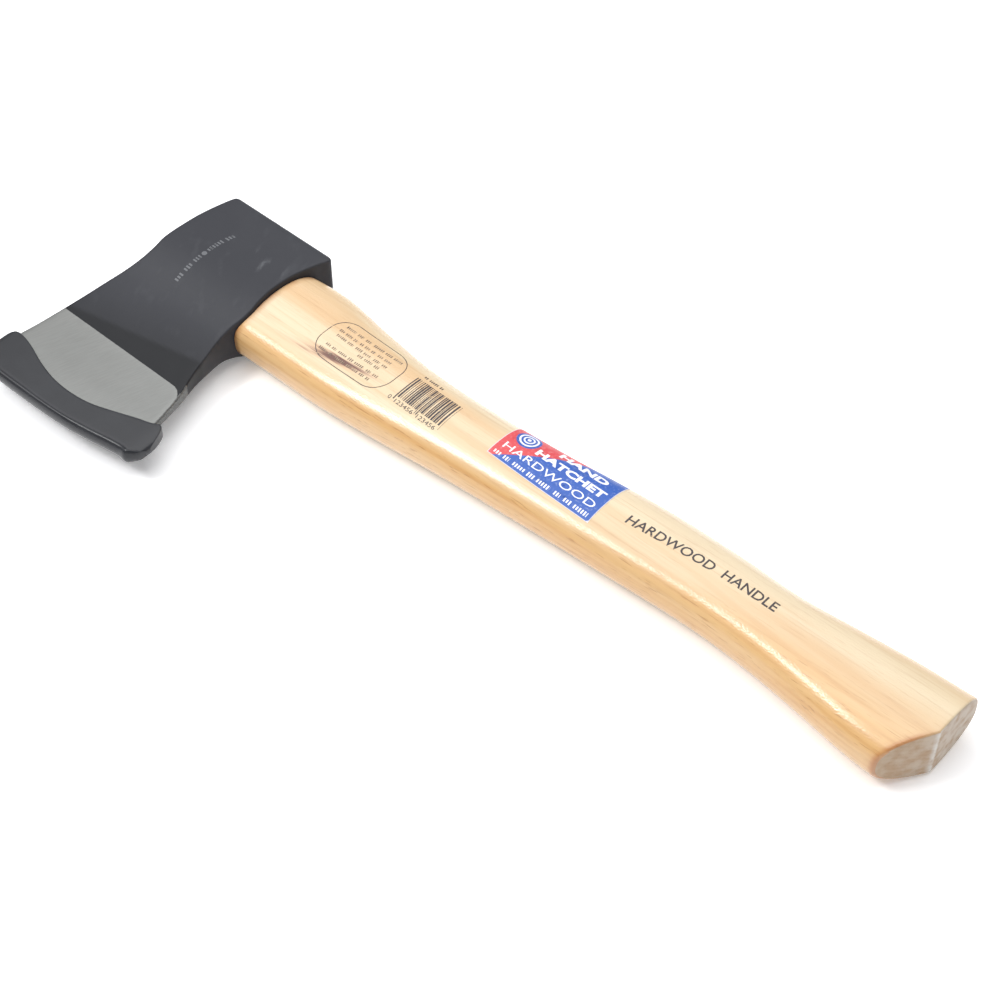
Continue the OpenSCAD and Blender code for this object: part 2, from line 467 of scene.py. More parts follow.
@dataclass(frozen=True)
class LacqueredHickory:
    """Hickory, turned and sanded, under clear gloss lacquer.

    The wood is pale cream on its flat side, with slow pink and honey streaks, and tan with fine close
    lines on its edges. The lacquer lays a bright, slightly rippled band along each edge.
    """

    cream: str = "#D0BA97"
    pale: str = "#D7C5A6"
    pink: str = "#CCA679"
    honey: str = "#C2935E"
    edge: str = "#CFA46C"
    edge_pale: str = "#D6B485"
    tan: str = "#B98247"
    line: str = "#9E6D3E"
    # burnished brown by the head, and painted shade on the butt's eased rim
    burnish_and_rim_shade: str = "#A5622F"
    halo: str = "#BC8566"
    stain: str = "#55261A"
    ring: float = 2.6  # millimetres between growth rings
    rough: float = 0.4
    shine: float = 0.25  # how strongly the wood itself mirrors under its lacquer
    coat: float = 0.8
    coat_rough: float = 0.19

    def make(self) -> bpy.types.Material:
        """Returns the material."""
        r = Recipe("lacquered_hickory")
        drift = r.grain((0, 0, 0), (0.1, 1, 1), 42, 3)
        broad = r.grain((0, 0, 0.8), (0.045, 1, 1), 95, 4)
        fibre = r.grain((0, 0, 0), (0.03, 1, 1), 900, 4)
        pores = r.grain((0, 0, 0), (0.055, 1, 1), 1500, 2)
        along = add_node(r.tree, "SeparateXYZ", inputs={0: r.place})
        # One growth ring for each turn of the sine, over planes that lean a little across the haft.
        turns = 2 * math.pi / (self.ring * MM)
        lean = r.sums("MULTIPLY_ADD", along.outputs[1], 0.22, along.outputs[2])
        lean = r.sums("MULTIPLY_ADD", along.outputs[0], 0.011, lean)
        bent = r.sums("MULTIPLY_ADD", drift, 0.006, lean)
        rings = r.ramp(r.sums("SINE", r.sums("MULTIPLY", bent, turns), 0.0), -0.2, 1.0)
        flank = r.attribute("flank")
        colour = r.mix(r.ramp(broad, 0.38, 0.66), linear(self.cream), linear(self.pale))
        colour = r.wash(colour, self.pink, r.ramp(drift, 0.5, 0.72), 0.55)
        soft = r.sums("MULTIPLY", r.ramp(broad, 0.66, 0.4), 0.2)
        colour = r.wash(colour, self.honey, rings, soft)
        edge = r.wash(linear(self.edge), self.tan, rings, 0.3)
        edge = r.wash(edge, self.edge_pale, r.ramp(broad, 0.42, 0.7), 0.7)
        colour = r.mix(flank, colour, edge)
        colour = r.wash(colour, self.line, r.ramp(fibre, 0.5, 0.75), 0.2)
        deep = r.sums("MULTIPLY_ADD", flank, 0.4, 0.15)
        colour = r.wash(colour, self.line, r.ramp(pores, 0.6, 0.72), deep)
        # Burnished brown by the head; on the butt's eased rim this brown is painted shade.
        colour = r.wash(colour, self.burnish_and_rim_shade, r.attribute("burnish_and_rim_shade"), r.ramp(broad, 0.3, 0.6))
        streak = r.sums("MULTIPLY_ADD", r.sums("SUBTRACT", fibre, 0.5), 2.4, r.attribute("streak"))
        colour = r.wash(colour, self.halo, r.ramp(streak, -0.5, 0.6), 0.45)
        colour = r.wash(colour, self.stain, r.ramp(streak, 0.1, 0.75), 0.95)
        # The lacquer sinks a little into the pores and lies in a fine orange peel, under 1 mm across.
        peel = r.grain((0, 0, 0), (0.6, 1, 1), 1500, 2)
        fibres = r.sums("MULTIPLY_ADD", pores, 0.3, r.sums("MULTIPLY", fibre, 0.15))
        relief = r.bump(r.sums("ADD", peel, fibres), 0.00009, 0.7)
        return r.finish(
            {
                "Base Color": colour,
                "Roughness": self.rough,
                "Specular IOR Level": self.shine,
                "Coat Weight": self.coat,
                "Coat Roughness": self.coat_rough,
                "Normal": relief,
                "Coat Normal": relief,
            }
        )


@dataclass(frozen=True)
class WaxedEndGrain:
    """Sawn hickory end grain, sealed with a thin wax that has dried milky.

    It gives a dull grey-brown face with fine growth lines and whitish smears.
    """

    wood: str = "#AE9274"
    dark: str = "#92704F"
    wax: str = "#C2B29C"
    thick_wax: str = "#D9D5CE"
    ring: float = 2.2  # millimetres between growth rings

    def make(self) -> bpy.types.Material:
        """Returns the material."""
        r = Recipe("waxed_end_grain")
        speck = r.grain((0, 0, 0), (1, 1, 1), 600, 4)
        smear = r.grain((20, 0, 0), (1, 1, 1), 220, 6)
        along = add_node(r.tree, "SeparateXYZ", inputs={0: r.place})
        lean = r.sums("MULTIPLY_ADD", along.outputs[1], 0.3, along.outputs[2])
        bent = r.sums("MULTIPLY_ADD", smear, 0.002, lean)
        rings = r.sums("SINE", r.sums("MULTIPLY", bent, 2 * math.pi / (self.ring * MM)), 0.0)
        colour = r.wash(linear(self.wood), self.dark, r.ramp(rings, 0.0, 1.0), 0.18)
        colour = r.wash(colour, self.dark, r.ramp(speck, 0.5, 0.75), 0.35)
        colour = r.wash(colour, self.wax, r.ramp(smear, 0.35, 0.7), 0.5)
        colour = r.wash(colour, self.thick_wax, r.attribute("ridge"), r.ramp(smear, 0.25, 0.6))
        return r.finish({"Base Color": colour, "Roughness": 0.62, "Normal": r.bump(speck, 0.00008, 0.5)})


@dataclass(frozen=True)
class WedgePoplar:
    """A split poplar wedge, bare and a little stained with glue: dull tan with long fibres."""

    wood: str = "#B98A56"
    dark: str = "#8E6239"

    def make(self) -> bpy.types.Material:
        """Returns the material."""
        r = Recipe("wedge_poplar")
        fibre = r.grain((0, 0, 0), (0.08, 1, 1), 800, 3)
        colour = r.mix(r.ramp(fibre, 0.35, 0.7), linear(self.wood), linear(self.dark))
        return r.finish({"Base Color": colour, "Roughness": 0.7, "Normal": r.bump(fibre, 0.0001, 0.6)})


@dataclass(frozen=True)
class RolledSteel:
    """Rolled mild steel with mill scale: dark grey metal with a mottled dull shine."""

    steel: str = "#6E7073"
    scale: str = "#4B4A49"

    def make(self) -> bpy.types.Material:
        """Returns the material."""
        r = Recipe("rolled_steel")
        scale = r.grain((0, 0, 0), (1, 0.4, 1), 500, 4)
        colour = r.mix(r.ramp(scale, 0.35, 0.65), linear(self.steel), linear(self.scale))
        rough = r.sums("MULTIPLY_ADD", scale, 0.3, 0.3)
        relief = r.bump(scale, 0.00005, 0.5)
        return r.finish({"Base Color": colour, "Metallic": 1.0, "Roughness": rough, "Normal": relief})


@dataclass(frozen=True)
class MouldedRubber:
    """Moulded black PVC rubber: a soft, slightly greasy sheen over a fine even tooth."""

    black: str = "#232428"
    bloom: str = "#2F3135"
    shine: float = 0.4

    def make(self) -> bpy.types.Material:
        """Returns the material."""
        r = Recipe("moulded_rubber")
        tooth = r.grain((0, 0, 0), (1, 1, 1), 2200, 2)
        cloud = r.grain((0, 0, 0), (1, 1, 1), 70, 3)
        colour = r.wash(linear(self.black), self.bloom, r.ramp(cloud, 0.4, 0.7), 0.3)
        rough = r.sums("MULTIPLY_ADD", cloud, 0.2, 0.24)
        relief = r.bump(tooth, 0.00003, 0.4)
        look = {"Base Color": colour, "Roughness": rough, "Normal": relief}
        return r.finish(look | {"Specular IOR Level": self.shine})


@dataclass(frozen=True)
class PrintedLabel:
    """A varnished paper label in two flat inks with a bare rim: clean, strong and half dull."""

    red: str = "#C9444A"
    blue: str = "#2553A6"
    paper: str = "#CFCDD6"
    fleck: str = "#FFFFFF"
    rough: float = 0.42

    def make(self) -> bpy.types.Material:
        """Returns the material."""
        r = Recipe("printed_label")
        fleck = r.grain((0, 0, 0), (1, 1, 1), 900, 3)
        half = r.ramp(r.attribute("split"), -0.15, 0.15)
        colour = r.mix(half, linear(self.red), linear(self.blue))
        colour = r.wash(colour, self.fleck, r.ramp(fleck, 0.5, 0.8), 0.12)
        colour = r.mix(r.ramp(r.attribute("rim"), 0.35, 0.15), colour, linear(self.paper))
        relief = r.bump(fleck, 0.00002, 0.4)
        return r.finish({"Base Color": colour, "Roughness": self.rough, "Normal": relief})


@dataclass(frozen=True)
class LabelWhite:
    """The label's bare white paper, where no ink was laid: crisp and a little blue."""

    white: str = "#E6E6EA"
    grey: str = "#D2D5E0"
    rough: float = 0.42

    def make(self) -> bpy.types.Material:
        """Returns the material."""
        r = Recipe("label_white")
        fleck = r.grain((0, 0, 0), (1, 1, 1), 900, 3)
        colour = r.mix(r.ramp(fleck, 0.4, 0.8), linear(self.white), linear(self.grey))
        return r.finish({"Base Color": colour, "Roughness": self.rough})


@dataclass(frozen=True)
class StampInk:
    """Ink rolled on with a rubber stamp: a dull dark print that lets the ground through in places."""

    full: str = "#3A3335"
    thin: str = "#8F7A60"
    cover: float = 0.5  # how much of the ink is solid

    def make(self) -> bpy.types.Material:
        """Returns the material."""
        r = Recipe("stamp_ink")
        take = r.grain((0, 0, 0), (0.6, 1, 1), 700, 4)
        colour = r.mix(r.ramp(take, self.cover, self.cover + 0.14), linear(self.full), linear(self.thin))
        return r.finish({"Base Color": colour, "Roughness": 0.5})


# ---- Head ----


@dataclass
class ForgedHead:
    """The head: flat cheeks round the eye, a square poll, and a blade that flares to a bowed edge."""

    # Part of the way from poll to bit, far edge, near edge, half thickness as a part of CHEEK_HALF
    rows: tuple[Row, ...] = (
        (0.00, -27.3, 27.2, 1.00),
        (0.015, -28.2, 27.9, 1.00),
        (0.05, -29.6, 26.2, 1.00),
        (0.14, -31.9, 23.0, 1.00),
        (0.23, -32.8, 22.2, 1.00),
        (0.30, -33.0, 23.0, 0.975),
        (0.34, -32.7, 23.7, 0.90),
        (0.38, -33.2, 23.3, 0.775),
        (0.42, -34.3, 22.0, 0.64),
        (0.47, -36.0, 21.8, 0.495),
        (0.54, -37.9, 23.5, 0.38),
        (0.62, -39.6, 25.9, 0.28),
        (0.70, -41.3, 29.2, 0.20),
        (0.79, -42.8, 31.6, 0.155),
        (0.87, -44.3, 33.2, 0.13),
        (0.94, -45.2, 34.6, 0.085),
        (1.00, -43.6, 31.0, 0.00),
    )
    arris: float = 0.9
    poll_round: float = 2.0
    edge_half: float = 0.25
    edge_mid: float = -20.0
    edge_radius: float = 250.0
    bow_start: float = 0.62
    rings: int = 104
    corner_points: int = 6
    cheek_points: int = 40
    wall_points: int = 6
    paint_line: float = -58.0  # y of the straight edge of the lacquer
    paint_corner: float = 4.5  # radius of its corner at the near edge
    paint_on_wall: float = 4.0  # how much further the ground strip runs on the near wall

    def part(self, y: float) -> float:
        """Gives the part of the way from poll to bit at y."""
        return (POLL_REACH - y) / (POLL_REACH + BIT_REACH)

    def near_wall(self, y: float) -> float:
        """Gives the x of the head's near wall at y."""
        return curve(self.rows, self.part(y))[2]

    def cheek(self, y: float) -> float:
        """Gives the height of the cheek over the middle of the head at y."""
        return min(curve(self.rows, self.part(y))[3], 1.0) * CHEEK_HALF

    def bow(self, x: float) -> float:
        """Gives how far the cutting edge has swept back at x."""
        return (x - self.edge_mid) ** 2 / (2 * self.edge_radius)

    def section(self, u: float, inset: float = 0.0) -> list[Vector]:
        """Draws one section of the head.

        Args:
            u: Part of the way from poll to bit.
            inset: How far the section is drawn in.

        Returns:
            Its corners, clockwise as seen from the poll.
        """
        _, far, near, thick = curve(self.rows, u)
        low, high = far + inset, near - inset
        half = max(min(thick, 1.0) * CHEEK_HALF, self.edge_half) - inset
        r = min(self.arris, half * 0.6)
        turns = [math.pi / 2 * k / (self.corner_points - 1) for k in range(self.corner_points)]
        flat = high - low - 2 * r
        cheek = [low + r + flat * k / self.cheek_points for k in range(1, self.cheek_points)]
        wall = [(half - r) * (1 - 2 * k / self.wall_points) for k in range(1, self.wall_points)]
        upper = [(low + r - r * math.cos(a), half - r + r * math.sin(a)) for a in turns]
        upper += [(x, half) for x in cheek]
        upper += [(high - r + r * math.sin(a), half - r + r * math.cos(a)) for a in turns]
        outline = upper + [(high, z) for z in wall]
        outline += [(x, -z) for x, z in reversed(upper)]
        outline += [(low, -z) for z in wall]
        y = POLL_REACH - u * (POLL_REACH + BIT_REACH)
        bend = max(0.0, (u - self.bow_start) / (1 - self.bow_start)) ** 1.3
        return [Vector((x, y + bend * self.bow(x), z)) for x, z in outline]

    def blank(self) -> BMesh:
        """Forges the head without its eye, and returns it."""
        span = POLL_REACH + BIT_REACH
        steps = 5
        angles = [math.pi / 2 * k / steps for k in range(steps + 1)]
        rounded = [
            (self.poll_round * (1 - math.cos(a)) / span, self.poll_round * (1 - math.sin(a)))
            for a in angles
        ]
        loft = Loft(self.section(*rounded[0]))
        for u, inset in rounded[1:]:
            loft.grow(self.section(u, inset))
        for k in range(2, self.rings + 1):
            loft.grow(self.section(k / self.rings))
        loft.cap(loft.first)
        loft.cap(loft.ring)
        return loft.bm

    def bare(self, place: Vector) -> float:
        """Tells how far inside the bare ground strip a place is.

        Args:
            place: A place on the head.

        Returns:
            Millimetres inside the strip, or less than 0 on the lacquer.
        """
        near = self.near_wall(place.y)
        if place.x > near - self.arris / 2:
            return min(self.paint_line + self.paint_on_wall - place.y, 0.02)
        across = max(place.x - (near - 0.4 - self.paint_corner), 0.0)
        along = place.y - self.paint_line + self.paint_corner
        if along < 0:
            return self.paint_corner - across
        return self.paint_corner - math.hypot(across, along)

    def bevel_shade(self, place: Vector) -> float:
        """Gives 1 in the painted shade just above the ground strip, where the cheek turns into its
        bevel, and fades to 0.
        """
        top = self.paint_line + 2.5 + (place.x + 40) * 0.19
        step = 1 - smoothed(-1.2, 1.2, place.y - top)
        fade = 1 - smoothed(-2.0, 22.0, place.y - top)
        return 0.5 * step + 0.5 * fade

    def handled(self, place: Vector) -> float:
        """Gives how much a place on the cheek was rubbed, most of all beside the haft."""
        gap = math.hypot((place.x - 8) / 15, (place.y - 5) / 8)
        return 0.04 + 0.34 * (1 - smoothed(0.2, 1.2, gap))

    def build(self, finish: LacqueredForging) -> bpy.types.Object:
        """Builds the head with its eye, dresses it and returns it."""
        bm = carve(self.blank(), eye_tool())
        mark(bm, "bare", self.bare)
        mark(bm, "bevel_shade", self.bevel_shade)
        mark(bm, "handled", self.handled)
        piece = Piece("forged_head", Body.HATCHET, "head_lacquer", ("axe_head",))
        return piece.settle(bm, [finish.make()])


def eye_oval(x: float, sides: int, gap: float = 0.0) -> list[Vector]:
    """Draws the tapered oval of the eye.

    Args:
        x: Where the eye is cut across.
        sides: Corners round the oval.
        gap: How far inside the eye's wall the oval lies.

    Returns:
        The oval's corners.
    """
    flare = 0.12  # how much wider the eye is at its far side
    grow = 1 + flare * (SHOULDER - x) / (SHOULDER - EYE_TOP)
    mid, half = (EYE_BACK + EYE_FRONT) / 2, (EYE_BACK - EYE_FRONT) / 2
    angles = [2 * math.pi * k / sides for k in range(sides)]
    squareness = 0.8
    return [
        Vector(
            (
                x,
                mid + (half * grow - gap) * power(math.cos(a), squareness),
                (EYE_HALF * grow - gap) * power(math.sin(a), squareness),
            )
        )
        for a in angles
    ]


def eye_tool(sides: int = 96) -> BMesh:
    """Makes the drift that opens the eye, with a small lead at the far side, and returns it."""
    lead = 0.7
    over = 12.0
    loft = Loft([p + Vector((-over, 0, 0)) for p in eye_oval(EYE_TOP, sides, -lead)])
    loft.grow(eye_oval(EYE_TOP, sides, -lead))
    loft.grow(eye_oval(EYE_TOP + lead, sides))
    loft.grow(eye_oval(SHOULDER + over, sides))
    loft.cap(loft.first)
    loft.cap(loft.ring)
    return loft.bm


# ---- Haft ----


@dataclass
class HickoryHaft:
    """The haft: a squared oval that curves from the head to a flared butt with a bevelled end."""

    # Part of HAFT_REACH, front edge y, back edge y, half thickness as a part of butt_half, squareness
    rows: tuple[Row, ...] = (
        (0.06, -24.0, 19.3, 0.89, 3.1),
        (0.13, -24.2, 21.5, 0.89, 2.7),
        (0.20, -24.1, 18.4, 0.91, 2.5),
        (0.28, -22.0, 15.2, 0.91, 2.4),
        (0.38, -18.8, 15.2, 0.90, 2.3),
        (0.48, -16.4, 17.2, 0.90, 2.3),
        (0.60, -13.9, 21.3, 0.90, 2.3),
        (0.71, -11.9, 22.1, 0.92, 2.3),
        (0.79, -12.7, 21.3, 0.94, 2.4),
        (0.86, -15.4, 23.4, 0.96, 2.5),
        (0.93, -18.6, 25.4, 0.98, 2.6),
        (1.00, -19.6, 26.4, 1.00, 2.6),
    )
    butt_half: float = 12.6
    butt_slope: float = 0.62  # the bevel's fall along the haft for each millimetre across
    rim: float = 1.0  # radius of the butt's eased rim
    proud: float = 1.2  # how far the tenon stands out of the eye
    gap: float = 0.12  # between the shoulder and the head
    sides: int = 96
    rings: int = 150
    wedge: Row = (4.2, 0.8, 38.0)  # wooden wedge: thickness at its head, at its tip, and its depth
    steel: Row = (2.6, 0.5, 20.0, 15.0)  # steel wedge: the same, and its width
    steel_y: float = 2.0
    head: ForgedHead = field(default_factory=ForgedHead)

    def at(self, x: float, angle: float, lift: float = 0.0) -> Vector:
        """Gives a place on the haft's surface.

        Args:
            x: Millimetres along the haft.
            angle: Angle round the section, from the back edge over the top, in radians.
            lift: Height above the surface.

        Returns:
            The place.
        """
        _, front, back, thick, squareness = curve(self.rows, x / HAFT_REACH)
        half_y, half_z = (back - front) / 2 + lift, thick * self.butt_half + lift
        # Next to the head the back of the haft keeps the corner that the sander left.
        corner = 0.8 * (1 - smoothed(0.06, 0.17, x / HAFT_REACH)) * smoothed(-0.1, 0.3, math.cos(angle))
        p = 2 / (squareness + corner)
        y = (front + back) / 2 + half_y * power(math.cos(angle), p)
        return Vector((x, y, half_z * power(math.sin(angle), p)))

    def mid(self, x: float) -> float:
        """Gives the y of the haft's centre line at x."""
        _, front, back, _, _ = curve(self.rows, x / HAFT_REACH)
        return (front + back) / 2

    def ridge_y(self) -> float:
        """Gives the y of the ring corner nearest to the ridge between the butt's two faces."""
        corners = [self.at(HAFT_REACH, self.angle(k)).y for k in range(self.sides)]
        return min(corners, key=abs)

    def angle(self, k: int) -> float:
        """Gives the angle of a ring's corner number k."""
        return 2 * math.pi * k / self.sides

    def ring(self, t: float, back_off: float = 0.0, inset: float = 0.0) -> list[Vector]:
        """Draws a ring that blends from the head's wall at t = 0 to the butt's faces at t = 1.

        Args:
            t: Part of the way along.
            back_off: How far the ring is set back along the haft from there.
            inset: How far the ring is drawn in.

        Returns:
            Its corners.
        """
        ridge = self.ridge_y()
        corners = []
        for k in range(self.sides):
            x = SHOULDER + t * (HAFT_REACH - SHOULDER)
            for _ in range(3):
                y = self.at(min(x, HAFT_REACH), self.angle(k), -inset).y
                start = self.head.near_wall(y) + self.gap
                end = HAFT_REACH - self.butt_slope * max(0.0, ridge - y)
                x = start + t * (end - start) - back_off
            corners.append(self.at(min(x, HAFT_REACH), self.angle(k), -inset))
        return corners

    def blank(self) -> BMesh:
        """Shapes the haft with its tenon and its bevelled butt, and returns it."""
        top = EYE_TOP - self.proud
        ease = 0.5
        loft = Loft(eye_oval(top, self.sides, ease))
        loft.cap(loft.first)
        loft.grow(eye_oval(top + ease, self.sides, 0.08))
        for x in (EYE_TOP + 6, -12.0, 6.0):
            loft.grow(eye_oval(x, self.sides, 0.05))
        neck = eye_oval(SHOULDER - 2, self.sides, 0.05)
        for corner in neck:
            corner.x = self.head.near_wall(corner.y) - 0.6
        loft.grow(neck)
        for corner in neck:
            corner.x += 0.6 + self.gap
        loft.grow(neck)
        loft.grow(self.ring(0.0, 0.0, 0.45))
        loft.grow(self.ring(0.0, -0.12, 0.15))
        loft.grow(self.ring(0.0, -0.5, 0.0))
        for k in range(1, self.rings):
            loft.grow(self.ring(k / self.rings * 0.995 + 0.004))
        steps = 4
        for k in range(steps + 1):
            a = math.pi / 2 * k / steps
            loft.grow(self.ring(1.0, self.rim * (1 - math.sin(a)), self.rim * (1 - math.cos(a))))
        self._face_butt(loft)
        return loft.bm

    def _face_butt(self, loft: Loft) -> None:
        """Closes the butt with a square face, a bevelled face and an eased ridge between them."""
        corners = loft.ring
        at_ridge = sorted(range(self.sides), key=lambda k: abs(corners[k].co.y))[:2]
        top, bottom = sorted(at_ridge)
        loft.cap(corners[top : bottom + 1])
        loft.cap(corners[bottom:] + corners[: top + 1])
        ridge = loft.bm.edges.get((corners[top], corners[bottom]))
        bmesh.ops.bevel(
            loft.bm,
            geom=[ridge],
            offset=0.5,
            segments=2,
            profile=0.5,
            material=-1,
            affect="EDGES",
            clamp_overlap=True,
        )

    def kerf(self, sizes: Row, across_y: bool) -> BMesh:
        """Makes the space that a wedge fills in the tenon.

        Args:
            sizes: Thickness at the head and at the tip, the depth and the width.
            across_y: Whether the wedge spans the haft from front to back.

        Returns:
            The space as a closed shape.
        """
        head_t, tip_t, depth, width = sizes
        bm = bmesh.new()
        bmesh.ops.create_cube(bm, size=1.0)
        top = EYE_TOP - self.proud
        for vert in bm.verts:
            at_tip = vert.co.x > 0
            thick = tip_t if at_tip else head_t * (1 + 2 / depth)
            x = top + depth if at_tip else top - 2
            if across_y:
                vert.co = Vector((x, vert.co.y * width + (EYE_BACK + EYE_FRONT) / 2, vert.co.z * thick))
            else:
                vert.co = Vector((x, vert.co.y * thick + self.steel_y, vert.co.z * width))
        return bm

    def flank(self, place: Vector) -> float:
        """Gives 0 on the haft's broad sides and 1 on its front and back edges."""
        _, front, back, thick, _ = curve(self.rows, min(max(place.x, 20.6), HAFT_REACH) / HAFT_REACH)
        side = (place.y - (front + back) / 2) / ((back - front) / 2)
        # Towards the butt the tan heartwood comes further over the front half.
        spread = smoothed(0.55, 0.95, place.x / HAFT_REACH)
        if side < 0:
            return smoothed(0.62 - 0.6 * spread, 0.93 - 0.1 * spread, -side)
        return 0.8 * smoothed(0.7, 0.97, side)

    def burnish_and_rim_shade(self, place: Vector) -> float:
        """Gives how much the wood was burnished brown against the head, and the painted shade on the
        butt's eased rim.
        """
        shoulder = place.x - self.head.near_wall(place.y)
        by_head = 1 - smoothed(0.2, 3.5, shoulder)
        end = HAFT_REACH - self.butt_slope * max(0.0, -place.y)
        # Painted shade on the butt's eased rim, where the lacquered rounding turns away from the light.
        butt_rim_shade = smoothed(-3.4, -1.0, place.x - end) * (1 - smoothed(-5.0, 5.0, place.y))
        return max(0.6 * by_head, 0.7 * butt_rim_shade)

    def streak(self, place: Vector) -> float:
        """Gives the mineral streak on the upper side, most at its middle and below 0 away from it."""
        if place.z < 0:
            return -3.0
        # The streak's line runs forward of the centre line and closes on it along the haft.
        line = self.mid(max(place.x, 30.0)) - 10.2 + (place.x - 56.0) * 0.2
        along = (place.x - 66.5) / 18.5
        across = (place.y - line) / (2.1 - 0.5 * min(max(along, -1.0), 1.0))
        return 1.15 - math.hypot(along, across)

    def ridge(self, place: Vector) -> float:
        """Gives how thick the wax lies on the butt: most on its ridge and least on its bevel."""
        return max(1 - smoothed(0.4, 1.6, abs(place.y)), 0.4 * smoothed(0.0, 2.0, place.y))

    def build(self, wood: LacqueredHickory, sawn: WaxedEndGrain) -> bpy.types.Object:
        """Builds the haft, dresses it and returns it."""
        bm = carve(self.blank(), self.kerf((*self.wedge, 60.0), across_y=True))
        bm = carve(bm, self.kerf(self.steel, across_y=False))
        bm.normal_update()
        for face in bm.faces:
            centre = face.calc_center_median()
            at_butt = centre.x > HAFT_REACH * 0.9 and face.normal.x > 0.8
            face.material_index = int(at_butt or centre.x < EYE_TOP)
        mark(bm, "flank", self.flank)
        mark(bm, "burnish_and_rim_shade", self.burnish_and_rim_shade)
        mark(bm, "streak", self.streak)
        mark(bm, "ridge", self.ridge)
        piece = Piece("hickory_haft", Body.HATCHET, "hardwood", ("haft",))
        return piece.settle(bm, [wood.make(), sawn.make()])


@lru_cache(maxsize=4096)
def arc_table(half_x: int) -> tuple[tuple[float, float], ...]:
    """Measures arcs round the haft's upper side.

    Args:
        half_x: Twice the place along the haft, in millimetres.

    Returns:
        Pairs of the arc from the top centre line, positive to the front, and the angle.
    """
    haft = HickoryHaft()
    steps = 60
    pairs = []
    for way in (-1, 1):
        arc = 0.0
        last = haft.at(half_x / 2, math.pi / 2)
        for k in range(1, steps + 1):
            angle = math.pi / 2 + way * math.pi / 2 * k / steps
            here = haft.at(half_x / 2, angle)
            arc += (here - last).length
            last = here
            pairs.append((way * arc, angle))
    return tuple(sorted([*pairs, (0.0, math.pi / 2)]))


def on_haft(x: float, arc: float, lift: float) -> Vector:
    """Gives the place on the haft at x and an arc from its top centre line, lifted off the wood."""
    haft = HickoryHaft()
    table = arc_table(round(x * 2))
    arc = min(max(arc, table[0][0]), table[-1][0] - 1e-6)
    i = next(k for k in range(len(table) - 1) if arc < table[k + 1][0])
    (a0, t0), (a1, t1) = table[i], table[i + 1]
    angle = t0 + (t1 - t0) * (arc - a0) / (a1 - a0)
    return haft.at(x, angle, lift)


def dress_wedges() -> None:
    """Gives the two wedges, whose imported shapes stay, their finishes."""
    wedges = (("wood_wedge", "wedge_wood", WedgePoplar()), ("steel_wedge", "wedge_steel", RolledSteel()))
    for name, slot, finish in wedges:
        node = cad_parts[name]
        node.data.materials.clear()
        node.data.materials.append(finish.make())
        log.info("%s: packed shape kept", name)


# ---- Print ----


